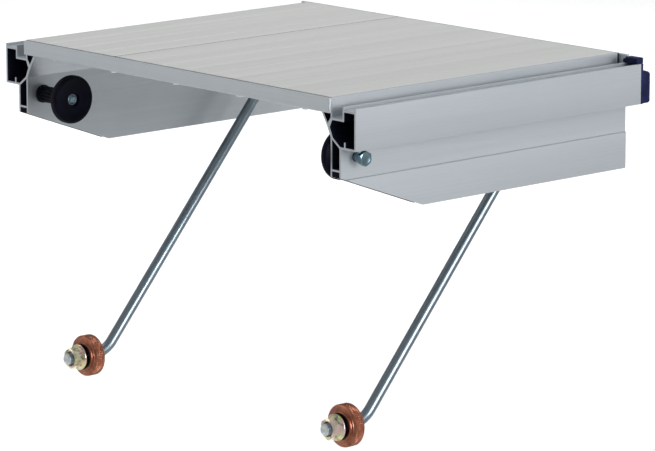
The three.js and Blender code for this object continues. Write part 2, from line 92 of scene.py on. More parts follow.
def startMaterial(name):
    material = bpy.data.materials.new(name)
    material.use_nodes = True
    tree = material.node_tree
    tree.nodes.clear()
    return material, tree, addNode(tree, "ShaderNodeTexCoord").outputs["Object"]


# Painted shade: soft darker bands on both sides of the lines that are rolled into the deck at an even pitch
lineShadeBand = {"reach": 3.0, "share": 0.4}


def lineShadeBands(tree, coords):
    x = addNode(tree, "ShaderNodeSeparateXYZ", {"Vector": coords})
    start = addNode(tree, "ShaderNodeMath", {0: x, 1: deck["half"] * toMetres}, operation="ADD")
    fold = addNode(tree, "ShaderNodeMath", {0: start, 1: linePitch * toMetres / 2}, operation="PINGPONG")
    return addNode(tree, "ShaderNodeMapRange", {
        "Value": fold, "From Max": lineShadeBand["reach"] * toMetres, "To Min": lineShadeBand["share"], "To Max": 0.0})


# Satin extruded aluminium: even grey with die lines along the length, wider soft bands that are a little
# darker, and faint cloudy marks from handling. Real die lines are too fine to show, so these are coarser.
def extrudedAluminium(name, light, dark, along, lined=False):
    material, tree, coords = startMaterial(name)
    lineSize = [260.0 if axis == along else 0.7 for axis in "xyz"]
    bandSize = [1400.0 if axis == along else 14.0 for axis in "xyz"]
    lineSpace = addNode(tree, "ShaderNodeMapping", {"Vector": coords, "Scale": perMetre(*lineSize)})
    bandSpace = addNode(tree, "ShaderNodeMapping", {"Vector": coords, "Scale": perMetre(*bandSize)})
    markSpace = addNode(tree, "ShaderNodeMapping", {"Vector": coords, "Scale": perMetre(30.0, 44.0, 30.0)})
    lines = addNode(tree, "ShaderNodeTexNoise", {"Vector": lineSpace, "Scale": 1.0, "Detail": 3.0})
    bands = addNode(tree, "ShaderNodeTexNoise", {"Vector": bandSpace, "Scale": 1.0, "Detail": 1.0})
    marks = addNode(tree, "ShaderNodeTexNoise", {"Vector": markSpace, "Scale": 1.0, "Detail": 3.0})
    shares = [
        addNode(tree, "ShaderNodeMapRange", {"Value": lines, "From Min": 0.35, "From Max": 0.65, "To Max": 0.2}),
        addNode(tree, "ShaderNodeMapRange", {"Value": bands, "From Min": 0.3, "From Max": 0.7, "To Max": 0.2}),
        addNode(tree, "ShaderNodeMapRange", {"Value": marks, "From Min": 0.4, "From Max": 0.75, "To Max": 0.15}),
    ]
    # On the deck the colour also gets painted shade beside each rolled line.
    if lined:
        shares.append(lineShadeBands(tree, coords))
    share = shares[0]
    for extra in shares[1:]:
        share = addNode(tree, "ShaderNodeMath", {0: share, 1: extra}, operation="ADD")
    colour = addNode(tree, "ShaderNodeMix", {"Factor": share, 6: srgb(light), 7: srgb(dark)}, data_type="RGBA")
    lineGloss = addNode(tree, "ShaderNodeMapRange", {
        "Value": lines, "From Min": 0.3, "From Max": 0.7, "To Min": 0.37, "To Max": 0.45})
    markGloss = addNode(tree, "ShaderNodeMapRange", {
        "Value": marks, "From Min": 0.4, "From Max": 0.7, "To Min": -0.01, "To Max": 0.015})
    gloss = addNode(tree, "ShaderNodeMath", {0: lineGloss, 1: markGloss}, operation="ADD")
    bump = addNode(tree, "ShaderNodeBump", {"Height": lines, "Distance": 0.01 * toMetres, "Strength": 0.07})
    shader = addNode(tree, "ShaderNodeBsdfPrincipled", {
        "Base Color": colour, "Metallic": 0.82, "Roughness": gloss, "Normal": bump})
    addNode(tree, "ShaderNodeOutputMaterial", {"Surface": shader})
    return material


# Painted shade inside the hollow sections and on walls in gaps: blue-black, as raw metal that sees no light.
def shadedHollow():
    material, tree, coords = startMaterial("shadedHollowAluminium")
    lineSpace = addNode(tree, "ShaderNodeMapping", {"Vector": coords, "Scale": perMetre(1.5, 200.0, 1.5)})
    lines = addNode(tree, "ShaderNodeTexNoise", {"Vector": lineSpace, "Scale": 1.0, "Detail": 3.0})
    share = addNode(tree, "ShaderNodeMapRange", {"Value": lines, "From Min": 0.35, "From Max": 0.65})
    colour = addNode(tree, "ShaderNodeMix", {"Factor": share, 6: srgb("#0f1120"), 7: srgb("#1a1d30")},
                     data_type="RGBA")
    bump = addNode(tree, "ShaderNodeBump", {"Height": lines, "Distance": 0.03 * toMetres, "Strength": 0.2})
    shader = addNode(tree, "ShaderNodeBsdfPrincipled", {
        "Base Color": colour, "Metallic": 0.2, "Roughness": 0.6, "Specular IOR Level": 0.2, "Normal": bump})
    addNode(tree, "ShaderNodeOutputMaterial", {"Surface": shader})
    return material


# Moulded plastic: near black with a blue cast, a spark-eroded grain and a soft sheen that varies. The grain
# is coarser than a real one, so that it shows.
def mouldedPlastic(name, light, dark, roughness):
    material, tree, coords = startMaterial(name)
    grainSpace = addNode(tree, "ShaderNodeMapping", {"Vector": coords, "Scale": perMetre(0.35, 0.35, 0.35)})
    cloudSpace = addNode(tree, "ShaderNodeMapping", {"Vector": coords, "Scale": perMetre(14.0, 14.0, 14.0)})
    grain = addNode(tree, "ShaderNodeTexNoise", {"Vector": grainSpace, "Scale": 1.0, "Detail": 2.0})
    cloud = addNode(tree, "ShaderNodeTexNoise", {"Vector": cloudSpace, "Scale": 1.0, "Detail": 4.0})
    share = addNode(tree, "ShaderNodeMapRange", {"Value": cloud, "From Min": 0.35, "From Max": 0.7})
    colour = addNode(tree, "ShaderNodeMix", {"Factor": share, 6: srgb(dark), 7: srgb(light)}, data_type="RGBA")
    sheen = addNode(tree, "ShaderNodeMapRange", {
        "Value": cloud, "From Min": 0.3, "From Max": 0.7, "To Min": roughness - 0.06, "To Max": roughness + 0.08})
    bump = addNode(tree, "ShaderNodeBump", {"Height": grain, "Distance": 0.03 * toMetres, "Strength": 0.35})
    shader = addNode(tree, "ShaderNodeBsdfPrincipled", {
        "Base Color": colour, "Roughness": sheen, "Specular IOR Level": 0.07, "Normal": bump})
    addNode(tree, "ShaderNodeOutputMaterial", {"Surface": shader})
    return material


# Matt rubber: soft black with a little dust in patches.
def rubber():
    material, tree, coords = startMaterial("matRubber")
    dustSpace = addNode(tree, "ShaderNodeMapping", {"Vector": coords, "Scale": perMetre(6.0, 6.0, 6.0)})
    dust = addNode(tree, "ShaderNodeTexNoise", {"Vector": dustSpace, "Scale": 1.0, "Detail": 4.0})
    share = addNode(tree, "ShaderNodeMapRange", {"Value": dust, "From Min": 0.4, "From Max": 0.7})
    colour = addNode(tree, "ShaderNodeMix", {"Factor": share, 6: srgb("#17181a"), 7: srgb("#2a2b2d")},
                     data_type="RGBA")
    bump = addNode(tree, "ShaderNodeBump", {"Height": dust, "Distance": 0.05 * toMetres, "Strength": 0.3})
    shader = addNode(tree, "ShaderNodeBsdfPrincipled", {"Base Color": colour, "Roughness": 0.85, "Normal": bump})
    addNode(tree, "ShaderNodeOutputMaterial", {"Surface": shader})
    return material


# Zinc plate: blue-grey metal with drawn lines and duller, darker spots. The lines are coarser than real
# ones, so that they show.
def zincPlate(name, light, dark, roughness):
    material, tree, coords = startMaterial(name)
    spotSpace = addNode(tree, "ShaderNodeMapping", {"Vector": coords, "Scale": perMetre(9.0, 26.0, 26.0)})
    lineSpace = addNode(tree, "ShaderNodeMapping", {"Vector": coords, "Scale": perMetre(0.9, 40.0, 40.0)})
    spots = addNode(tree, "ShaderNodeTexNoise", {"Vector": spotSpace, "Scale": 1.0, "Detail": 3.0})
    drawn = addNode(tree, "ShaderNodeTexNoise", {"Vector": lineSpace, "Scale": 1.0, "Detail": 2.0})
    spotShare = addNode(tree, "ShaderNodeMapRange", {
        "Value": spots, "From Min": 0.35, "From Max": 0.7, "To Max": 0.55})
    lineShare = addNode(tree, "ShaderNodeMapRange", {
        "Value": drawn, "From Min": 0.35, "From Max": 0.65, "To Max": 0.35})
    share = addNode(tree, "ShaderNodeMath", {0: spotShare, 1: lineShare}, operation="ADD")
    colour = addNode(tree, "ShaderNodeMix", {"Factor": share, 6: srgb(light), 7: srgb(dark)}, data_type="RGBA")
    gloss = addNode(tree, "ShaderNodeMapRange", {
        "Value": spots, "From Min": 0.3, "From Max": 0.75, "To Min": roughness - 0.04, "To Max": roughness + 0.08})
    bump = addNode(tree, "ShaderNodeBump", {"Height": drawn, "Distance": 0.02 * toMetres, "Strength": 0.15})
    shader = addNode(tree, "ShaderNodeBsdfPrincipled", {
        "Base Color": colour, "Metallic": 1.0, "Roughness": gloss, "Normal": bump})
    addNode(tree, "ShaderNodeOutputMaterial", {"Surface": shader})
    return material


# Yellow passivated zinc: pale silvery straw that drifts to green and pink, as thin films do, with dark olive
# patches of painted reflection, where it mirrors its dark surroundings.
def yellowZinc():
    material, tree, coords = startMaterial("yellowZincPlate")
    driftSpace = addNode(tree, "ShaderNodeMapping", {"Vector": coords, "Scale": perMetre(13.0, 9.0, 13.0)})
    blushSpace = addNode(tree, "ShaderNodeMapping", {"Vector": coords, "Scale": perMetre(9.0, 15.0, 9.0)})
    stainAndReflectionSpace = addNode(tree, "ShaderNodeMapping", {"Vector": coords, "Scale": perMetre(6.0, 9.0, 6.0)})
    drift = addNode(tree, "ShaderNodeTexNoise", {"Vector": driftSpace, "Scale": 1.0, "Detail": 1.0})
    blush = addNode(tree, "ShaderNodeTexNoise", {"Vector": blushSpace, "Scale": 1.0, "Detail": 1.0})
    stainAndReflection = addNode(tree, "ShaderNodeTexNoise", {"Vector": stainAndReflectionSpace, "Scale": 1.0, "Detail": 3.0})
    green = addNode(tree, "ShaderNodeMapRange", {"Value": drift, "From Min": 0.42, "From Max": 0.58})
    pink = addNode(tree, "ShaderNodeMapRange", {"Value": blush, "From Min": 0.46, "From Max": 0.6, "To Max": 0.85})
    # In this finish the stain noise only places painted reflection: the dark olive patches.
    paintedReflection = addNode(tree, "ShaderNodeMapRange", {"Value": stainAndReflection, "From Min": 0.5, "From Max": 0.66, "To Max": 0.7})
    colour = srgb("#e8dcae")
    for share, film in ((green, "#bccb9f"), (pink, "#eccaca"), (paintedReflection, "#5f5840")):
        colour = addNode(tree, "ShaderNodeMix", {"Factor": share, 6: colour, 7: srgb(film)}, data_type="RGBA")
    gloss = addNode(tree, "ShaderNodeMapRange", {
        "Value": blush, "From Min": 0.3, "From Max": 0.7, "To Min": 0.15, "To Max": 0.24})
    bump = addNode(tree, "ShaderNodeBump", {"Height": drift, "Distance": 0.02 * toMetres, "Strength": 0.1})
    shader = addNode(tree, "ShaderNodeBsdfPrincipled", {
        "Base Color": colour, "Metallic": 1.0, "Roughness": gloss, "Normal": bump})
    addNode(tree, "ShaderNodeOutputMaterial", {"Surface": shader})
    return material


# Copper plate: warm red-brown, brighter where fingers rub it, with specks and darker stains.
def copperPlate():
    material, tree, coords = startMaterial("copperPlate")
    stainAndReflectionSpace = addNode(tree, "ShaderNodeMapping", {"Vector": coords, "Scale": perMetre(6.0, 6.0, 6.0)})
    speckSpace = addNode(tree, "ShaderNodeMapping", {"Vector": coords, "Scale": perMetre(1.1, 1.1, 1.1)})
    stainAndReflection = addNode(tree, "ShaderNodeTexNoise", {"Vector": stainAndReflectionSpace, "Scale": 1.0, "Detail": 5.0})
    speck = addNode(tree, "ShaderNodeTexNoise", {"Vector": speckSpace, "Scale": 1.0, "Detail": 3.0})
    stainShare = addNode(tree, "ShaderNodeMapRange", {
        "Value": stainAndReflection, "From Min": 0.4, "From Max": 0.7, "To Max": 0.6})
    speckShare = addNode(tree, "ShaderNodeMapRange", {
        "Value": speck, "From Min": 0.45, "From Max": 0.7, "To Max": 0.35})
    share = addNode(tree, "ShaderNodeMath", {0: stainShare, 1: speckShare}, operation="ADD")
    colour = addNode(tree, "ShaderNodeMix", {"Factor": share, 6: srgb("#a86d57"), 7: srgb("#6c4232")},
                     data_type="RGBA")
    gloss = addNode(tree, "ShaderNodeMapRange", {
        "Value": stainAndReflection, "From Min": 0.3, "From Max": 0.7, "To Min": 0.28, "To Max": 0.42})
    bump = addNode(tree, "ShaderNodeBump", {"Height": speck, "Distance": 0.03 * toMetres, "Strength": 0.15})
    shader = addNode(tree, "ShaderNodeBsdfPrincipled", {
        "Base Color": colour, "Metallic": 1.0, "Roughness": gloss, "Normal": bump})
    addNode(tree, "ShaderNodeOutputMaterial", {"Surface": shader})
    return material


# Plain pale floor: painted board with a barely visible mottle.
def paleFloor():
    material, tree, coords = startMaterial("palePaintedFloor")
    space = addNode(tree, "ShaderNodeMapping", {"Vector": coords, "Scale": perMetre(900.0, 900.0, 900.0)})
    mottle = addNode(tree, "ShaderNodeTexNoise", {"Vector": space, "Scale": 1.0, "Detail": 2.0})
    colour = addNode(tree, "ShaderNodeMix", {"Factor": mottle, 6: srgb("#fafafa"), 7: srgb("#f5f6f6")},
                     data_type="RGBA")
    shader = addNode(tree, "ShaderNodeBsdfPrincipled", {"Base Color": colour, "Roughness": 0.9})
    addNode(tree, "ShaderNodeOutputMaterial", {"Surface": shader})
    return material


plankMetal = extrudedAluminium("extrudedAluminiumPlank", "#dbdddb", "#c2c4c3", "y", lined=True)
railMetal = extrudedAluminium("extrudedAluminiumRail", "#bcc2c7", "#a6acb2", "y")
stripMetal = extrudedAluminium("extrudedAluminiumStrip", "#c6ccd1", "#b0b7bc", "x")
rivetMetal = zincPlate("rivetAluminium", "#c9cccd", "#a9acae", 0.38)
paintedShadeMetal = shadedHollow()
knobPlastic = mouldedPlastic("mouldedPlasticBlack", "#05071a", "#02030d", 0.4)
capPlastic = mouldedPlastic("mouldedPlasticNavy", "#20254c", "#141834", 0.5)
sealRubber = rubber()
rodZinc = zincPlate("zincPlateRod", "#828e97", "#68737b", 0.32)
boltZinc = zincPlate("zincPlateBolt", "#7f9aa4", "#556a72", 0.24)
screwZinc = zincPlate("zincPlateScrew", "#d5d9da", "#b4babd", 0.3)
nutZinc = yellowZinc()
copper = copperPlate()
print("materials made")


# Shapes

def addPiece(name, bm, materials, body, nodes, sharpAngle=33.0):
    rowLayer = bm.verts.layers.int.get("row")
    if rowLayer:
        bm.verts.layers.int.remove(rowLayer)
    bm.normal_update()
    bmesh.ops.recalc_face_normals(bm, faces=bm.faces)
    bmesh.ops.transform(bm, matrix=Matrix.Scale(toMetres, 4) @ Matrix.Translation(deckShift), verts=bm.verts)
    mesh = bpy.data.meshes.new(name)
    bm.to_mesh(mesh)
    bm.free()
    for material in materials:
        mesh.materials.append(material)
    mesh.shade_smooth()
    mesh.set_sharp_from_angle(angle=math.radians(sharpAngle))
    obj = bpy.data.objects.new(name, mesh)
    bpy.context.scene.collection.objects.link(obj)
    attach(obj, body)
    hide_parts(*nodes)


# Softens the corners of a closed outline. A point may carry its own radius as a third number.
def rounded(points, radius=0.0, steps=3):
    result = []
    for index, point in enumerate(points):
        here = Vector(point[:2])
        size = point[2] if len(point) > 2 else radius
        toLast = Vector(points[index - 1][:2]) - here
        toNext = Vector(points[(index + 1) % len(points)][:2]) - here
        reach = min(size, 0.45 * toLast.length, 0.45 * toNext.length)
        start = here + toLast.normalized() * reach
        end = here + toNext.normalized() * reach
        for step in range(steps + 1):
            share = step / steps
            result.append(start * (1 - share) ** 2 + here * (2 * share * (1 - share)) + end * share ** 2)
    return result


def wound(loop, counterClockwise):
    area = sum(a.x * b.y - b.x * a.y for a, b in zip(loop, loop[1:] + loop[:1]))
    return loop if (area > 0) == counterClockwise else loop[::-1]


def inset(loop, distance):
    moved = []
    for index, point in enumerate(loop):
        before = (point - loop[index - 1]).normalized()
        after = (loop[(index + 1) % len(loop)] - point).normalized()
        normal = Vector((-before.y - after.y, before.x + after.x))
        moved.append(point + normal * (2 * distance / normal.length_squared))
    return moved


# Extrudes faces with their edges and gives the new faces and vertices
def pushFaces(bm, faces):
    edges = dict.fromkeys(edge for face in faces for edge in face.edges)
    made = bmesh.ops.extrude_face_region(bm, geom=[*faces, *edges])["geom"]
    return [[item for item in made if isinstance(item, kind)] for kind in (bmesh.types.BMFace, bmesh.types.BMVert)]


# Runs a section, outline first and hollows after it: the filled end is extruded three times, so that both
# sawn ends get a small chamfer. The long walls of the hollows take the second material, painted shade, and so
# do the outline's walls that are in a gap.
def runSection(bm, loops, place, start, end, chamfer, inGap=lambda point: False):
    rowLayer = bm.verts.layers.int.new("row")
    loops = [wound(loop, index == 0) for index, loop in enumerate(loops)]
    full = [point for loop in loops for point in loop]
    small = [point for loop in loops for point in inset(loop, chamfer)]
    # Walls of the hollows, and outline walls in a gap, are marked here for painted shade.
    dark = [index > 0 or inGap(point) for index, loop in enumerate(loops) for point in loop]
    verts = [bm.verts.new(place(point, start)) for point in small]
    for row, vert in enumerate(verts):
        vert[rowLayer] = row
    edges = []
    for loop in loops:
        ring, verts = verts[:len(loop)], verts[len(loop):]
        edges += [bm.edges.new((ring[k - 1], ring[k])) for k in range(len(ring))]
    filled = bmesh.ops.triangle_fill(bm, use_beauty=True, use_dissolve=False, edges=edges)["geom"]
    faces = [item for item in filled if isinstance(item, bmesh.types.BMFace)]
    stages = ((full, start + chamfer), (full, end - chamfer), (small, end))
    for stage, (points, along) in enumerate(stages):
        faces, moved = pushFaces(bm, faces)
        for vert in moved:
            vert.co = place(points[vert[rowLayer]], along)
        walls = {face for vert in moved for face in vert.link_faces}.difference(faces)
        for face in walls:
            face.material_index = int(stage == 1 and all(dark[vert[rowLayer]] for vert in face.verts))


# Spins a profile of (radius, along) points. A point may be a function of the angle instead, as for flats,
# teeth and threads, and then the vertices of its row are moved to it after the spin.
def turnProfile(bm, profile, place, count, closed=False):
    rowLayer = bm.verts.layers.int.get("row") or bm.verts.layers.int.new("row")
    before = set(bm.verts)
    chain = []
    for row, entry in enumerate(profile):
        radius, along = entry(0.0) if callable(entry) else entry
        chain.append(bm.verts.new((radius, 0.0, along)))
        chain[-1][rowLayer] = row
    ends = chain[1:] + chain[:1] if closed else chain[1:]
    edges = [bm.edges.new(pair) for pair in zip(chain, ends)]
    bmesh.ops.spin(bm, geom=chain + edges, cent=(0, 0, 0), axis=(0, 0, 1), angle=2 * math.pi, steps=count,
                   use_merge=True)
    nearAxis = 0.001
    poles = [vert for vert in bm.verts if vert not in before and vert.co.xy.length < nearAxis]
    bmesh.ops.remove_doubles(bm, verts=poles, dist=nearAxis)
    for vert in [vert for vert in bm.verts if vert not in before]:
        a, b, along = vert.co
        entry = profile[vert[rowLayer]]
        if callable(entry):
            angle = math.atan2(b, a)
            radius, along = entry(angle)
            a, b = radius * math.cos(angle), radius * math.sin(angle)
        vert.co = place(a, b, along)


def alongX(x, y, z, way):
    return lambda a, b, along: Vector((x + way * along, y + a, z + b))


def alongY(x, y, z):
    return lambda a, b, along: Vector((x + a, y + along, z + b))


def alongZ(x, y, z):
    return lambda a, b, along: Vector((x + a, y + b, z + along))


# Corners of a box on one side of the deck, from corners that are given out from the deck's edge
def besideDeck(side, low, high):
    xs = sorted(side * (deck["half"] + out) for out in (low[0], high[0]))
    return Vector((xs[0], *low[1:])), Vector((xs[1], *high[1:]))


def plainBox(bm, low, high, adjust=None):
    matrix = Matrix.Translation((low + high) / 2) @ Matrix.Diagonal((*(high - low), 1.0))
    verts = bmesh.ops.create_cube(bm, size=1.0, matrix=matrix)["verts"]
    if adjust:
        for vert in verts:
            vert.co = adjust(vert.co.copy())
    return verts


def roundBox(bm, low, high, radius, segments, adjust=None):
    verts = plainBox(bm, low, high, adjust)
    edges = list(dict.fromkeys(edge for vert in verts for edge in vert.link_edges))
    bmesh.ops.bevel(bm, geom=edges, offset=radius, offset_type="OFFSET", segments=segments, profile=0.5,
                    affect="EDGES", material=-1)


def cutAway(bm, cutter):
    made = []
    for shape in (bm, cutter):
        shape.normal_update()
        bmesh.ops.recalc_face_normals(shape, faces=shape.faces)
        mesh = bpy.data.meshes.new("cutShape")
        shape.to_mesh(mesh)
        shape.free()
        mesh.materials.append(railMetal)
        mesh.materials.append(paintedShadeMetal)
        obj = bpy.data.objects.new("cutShape", mesh)
        bpy.context.scene.collection.objects.link(obj)
        made.append(obj)
    modifier = made[0].modifiers.new("cut", "BOOLEAN")
    modifier.operation = "DIFFERENCE"
    modifier.solver = "EXACT"
    modifier.object = made[1]
    result = bmesh.new()
    result.from_object(made[0], bpy.context.evaluated_depsgraph_get())
    for obj in made:
        mesh = obj.data
        bpy.data.objects.remove(obj)
        bpy.data.meshes.remove(mesh)
    return result


def hexReach(flats, angle):
    return flats / 2 / math.cos((angle + math.pi / 6) % (math.pi / 3) - math.pi / 6)


# How far a hexagon's 30 degree chamfer has come down, outside the radius where it starts
def hexFall(flats, inner, angle):
    return max(0.0, hexReach(flats, angle) - inner) * math.tan(math.radians(30))


# Distance of a point from the nearest crest of a wave, from 0 on the crest to 1 in the valley.
def valley(phase):
    return abs(2 * (phase % 1.0) - 1)


# Rows of a screw thread with flat crests and roots, from its tapered free end
def threadRows(thread, length):
    rows = []
    count = round(length / thread["pitch"] * thread["rowsPerTurn"])
    for row in range(count + 1):
        def spot(angle, along=row * length / count):
            wave = valley(along / thread["pitch"] - angle / (2 * math.pi))
            radius = thread["radius"] - thread["depth"] * min(1.0, max(0.0, 1.3 * wave - 0.15))
            limit = thread["radius"] - max(0.0, thread["taper"] - along)
            return min(radius, limit), along
        rows.append(spot)
    return rows


# The same rows turned round, so that the free end comes last, at the given length
def flipRows(rows, length):
    return [lambda angle, row=row: (row(-angle)[0], length - row(-angle)[1]) for row in rows[::-1]]


# Deck planks: hollow sections joined by tongue and groove, with a shallow line over each inner web. A row is
# a name, its first and last line, the gaps on its sides, and 1 for a tongue or -1 for a groove on its sides.
planks = {
    "topSkin": 2.5, "bottomSkin": 2.0, "web": 2.0, "hollowRound": 0.6, "front": 1.0, "chamfer": 0.2,
    "lineWidth": 1.3, "lineDepth": 0.4, "lineRound": 0.3, "edgeRound": 0.35, "seamRound": 0.1,
    "tongueLength": 4.0, "tongueThickness": 3.2, "tongueDrop": 4.6, "tongueRound": 0.3, "rootRound": 0.2,
    "fit": 0.2, "gapReach": 0.01, "gapTop": -0.08,
    "rows": (
        ("left", 0, 4, (2.2, 0.6), (0, 1)),
        ("middle", 4, 9, (0.6, 0.15), (-1, -1)),
        ("right", 9, 13, (0.15, 2.2), (1, 0)),
    ),
}


def plankEdge(x, outward, kind):
    if kind == 0:
        return []
    slack = planks["fit"] if kind < 0 else 0.0
    tip = x + kind * outward * (planks["tongueLength"] + slack)
    high = -planks["tongueDrop"] + slack
    low = -planks["tongueDrop"] - planks["tongueThickness"] - slack
    return [(x, high, planks["rootRound"]), (tip, high, planks["tongueRound"]),
            (tip, low, planks["tongueRound"]), (x, low, planks["rootRound"])]


def buildPlanks():
    low, high = -deck["thickness"] + planks["bottomSkin"], -planks["topSkin"]
    lineHalf = planks["lineWidth"] / 2
    grooveDepth = planks["tongueLength"] + planks["fit"]
    for name, first, last, gaps, tongues in planks["rows"]:
        left = -deck["half"] + first * linePitch + gaps[0]
        right = -deck["half"] + last * linePitch - gaps[1]
        lines = [-deck["half"] + strip * linePitch for strip in range(first + 1, last)]
        topRounds = [planks["edgeRound"] if kind == 0 else planks["seamRound"] for kind in tongues]
        outline = [(left, 0.0, topRounds[0])]
        for line in lines:
            groove = ((-lineHalf, 0.0), (0.0, -planks["lineDepth"]), (lineHalf, 0.0))
            outline += [(line + across, height, planks["lineRound"]) for across, height in groove]
        outline += [(right, 0.0, topRounds[1]), *plankEdge(right, 1, tongues[1]), (right, -deck["thickness"])]
        outline += [(left, -deck["thickness"]), *plankEdge(left, -1, tongues[0])[::-1]]
        margins = [planks["web"] + (grooveDepth if kind < 0 else 0.0) for kind in tongues]
        starts = [left + margins[0], *[line + planks["web"] / 2 for line in lines]]
        stops = [*[line - planks["web"] / 2 for line in lines], right - margins[1]]
        loops = [rounded(outline, planks["edgeRound"])]
        loops += [rounded([(a, low), (b, low), (b, high), (a, high)], planks["hollowRound"])
                  for a, b in zip(starts, stops)]

        # Walls in the gaps at a row's sides get painted shade.
        def inGap(point):
            atEdge = point.x < left + planks["gapReach"] or point.x > right - planks["gapReach"]
            return atEdge and -deck["thickness"] < point.y < planks["gapTop"]
        bm = bmesh.new()
        runSection(bm, loops, lambda point, along: Vector((point.x, along, point.y)), planks["front"],
                   deck["depth"], planks["chamfer"], inGap)
        addPiece("deckPlank" + name.capitalize(), bm, (plankMetal, paintedShadeMetal), rootBody,
                 ["deck_plank_" + name])


buildPlanks()
print("planks built")


# Front and rear strips: angle bars with soft edges and well rounded corners at their ends
strips = {
    "low": -14.5, "high": -0.6, "thickness": 3.0, "edge": 0.4, "cornerRound": 2.3, "cornerSteps": 6,
    "flangeTop": -12.0, "flangeDepth": 10.0, "flangeLap": 1.0,
    "frontHalf": 225.0, "frontFlange": 208.1, "rearHalf": 236.5, "rearFlange": 155.0, "rearLeg": 377.0,
}


def buildStrip(name, node, half, outerFace, innerFace, flangeHalf, flangeFront):
    bm = bmesh.new()
    plan = [(-half, outerFace, strips["cornerRound"]), (half, outerFace, strips["cornerRound"]),
            (half, innerFace), (-half, innerFace)]
    runSection(bm, [rounded(plan, strips["edge"], strips["cornerSteps"])],
               lambda point, along: Vector((point.x, point.y, along)), strips["low"], strips["high"],
               strips["edge"])
    roundBox(bm, Vector((-flangeHalf, flangeFront, strips["low"])),
             Vector((flangeHalf, flangeFront + strips["flangeDepth"], strips["flangeTop"])), strips["edge"], 2)
    addPiece(name, bm, (stripMetal,), rootBody, [node])


buildStrip("frontStrip", "front_strip", strips["frontHalf"], -strips["thickness"], 0.0, strips["frontFlange"],
           -strips["flangeLap"])
buildStrip("rearStrip", "rear_strip", strips["rearHalf"], strips["rearLeg"] + strips["thickness"],
           strips["rearLeg"], strips["rearFlange"],
           strips["rearLeg"] - strips["flangeDepth"] + strips["flangeLap"])
print("strips built")


# Pan-head screws under the strips, with a cross recess in the head and a thread that cuts into the planks
screwThread = {"radius": 2.0, "depth": 0.4, "pitch": 0.8, "rowsPerTurn": 6, "taper": 0.8}
screws = {
    "seat": -14.5, "length": 7.5, "count": 48,
    "rows": (("front", 4.5, (-183.88, -93.04, 0.0, 93.04, 183.88)), ("rear", 370.5, (-93.04, 0.0, 93.04))),
}


def addScrew(bm, x, y):
    def recess(inner, spread, along):
        return lambda angle: (inner + spread * abs(math.cos(2 * angle)) ** 6, along)
    head = [
        (0, -1.3), recess(0.4, 0.5, -1.3), recess(0.6, 1.3, -2.5), (2.2, -2.6), (2.7, -2.48), (3.2, -2.15),
        (3.6, -1.6), (3.8, -1.0), (3.8, -0.35), (3.65, 0.0), (screwThread["radius"], 0.0),
    ]
    shank = flipRows(threadRows(screwThread, screws["length"]), screws["length"])
    turnProfile(bm, head + shank + [(0, screws["length"])], alongZ(x, y, screws["seat"]), screws["count"])


def buildScrews():
    for name, y, places in screws["rows"]:
        bm = bmesh.new()
        for x in places:
            addScrew(bm, x, y)
        nodes = [f"{name}_screw_{index + 1}" for index in range(len(places))]
        addPiece(name + "Screws", bm, (screwZinc,), rootBody, nodes)


# Blind rivets in the brackets: a domed head with the hole its pin left, a shank and the bulb behind
rivets = {"seat": -15.0, "gripTop": -10.0, "count": 32, "x": 196.88, "y": (289.7, 339.7)}


def buildRivets():
    grip = rivets["gripTop"] - rivets["seat"]
    profile = [
        (0, -0.55), (1.05, -0.55), (1.1, -1.1), (1.35, -1.36), (1.9, -1.4), (2.6, -1.24), (3.2, -0.86),
        (3.5, -0.5), (3.6, -0.25), (3.55, 0.0), (2.0, 0.0), (2.0, grip), (2.8, grip + 0.7), (3.0, grip + 1.3),
        (2.9, grip + 2.0), (2.2, grip + 2.8), (1.2, grip + 3.0), (0, grip + 3.0),
    ]
    for name, side in sides:
        bm = bmesh.new()
        for y in rivets["y"]:
            turnProfile(bm, profile, alongZ(side * rivets["x"], y, rivets["seat"]), rivets["count"])
        nodes = [f"bracket_rivet_{name}_{index + 1}" for index in range(len(rivets["y"]))]
        addPiece("bracketRivets" + name.capitalize(), bm, (rivetMetal,), rootBody, nodes)


buildScrews()
buildRivets()
print("screws and rivets built")


# Side rails: one extrusion each. Points are out from the deck's edge and height, with softened corners. The
# cut is a box whose top is tilted to the slope of the nose.
rails = {
    "outline": (
        (-2.0, 0.0, 0.3), (0.0, 0.0, 1.1), (0.0, -19.0, 0.5), (14.2, -19.0, 0.5), (14.2, -7.0, 0.5),
        (16.2, -7.0, 0.5), (16.2, -10.0, 0.4), (30.0, -10.0, 0.4), (30.0, -7.0, 0.5), (32.0, -7.0, 0.7),
        (32.0, -46.7, 0.9), (12.0, -46.7, 0.5), (12.0, -75.5, 0.3), (13.0, -76.5, 0.4), (13.0, -112.0, 0.6),
        (10.0, -112.0, 0.6), (10.0, -68.7, 0.5), (0.0, -68.7, 0.5), (0.0, -112.0, 0.6), (-2.0, -112.0, 0.6),
        (-2.0, -37.3, 0.5), (-6.4, -28.0, 0.5), (-15.9, -12.0, 0.5), (-2.0, -12.0, 0.2),
    ),
    "box": (
        (16.2, -12.0), (30.0, -12.0), (30.0, -44.7), (18.2, -44.7), (18.2, -39.7), (16.2, -39.7), (16.2, -44.7),
        (11.0, -44.7), (1.0, -37.3), (-3.2, -28.0), (0.0, -21.0), (16.2, -21.0),
    ),
    "brace": ((-2.0, -14.0), (-2.0, -19.0), (-5.997, -24.3), (-12.112, -14.0)),
    "web": ((0.0, -39.16), (0.0, -66.7), (10.0, -66.7), (10.0, -46.56)),
    "chamfer": 0.22, "hollowRound": 0.45, "slotFrom": -0.1, "slotTo": 10.1, "slotTop": -68.0,
    "noseDrop": 73.8, "panelDrop": 112.0, "noseLength": 103.5,
    "cut": ((-25.0, -10.0, -150.0), (45.0, 130.0, 0.0)),
    "holeRadius": 4.5, "holeY": 19.0, "holeZ": -56.0, "drillHalf": 20.0, "drillCount": 48,
}


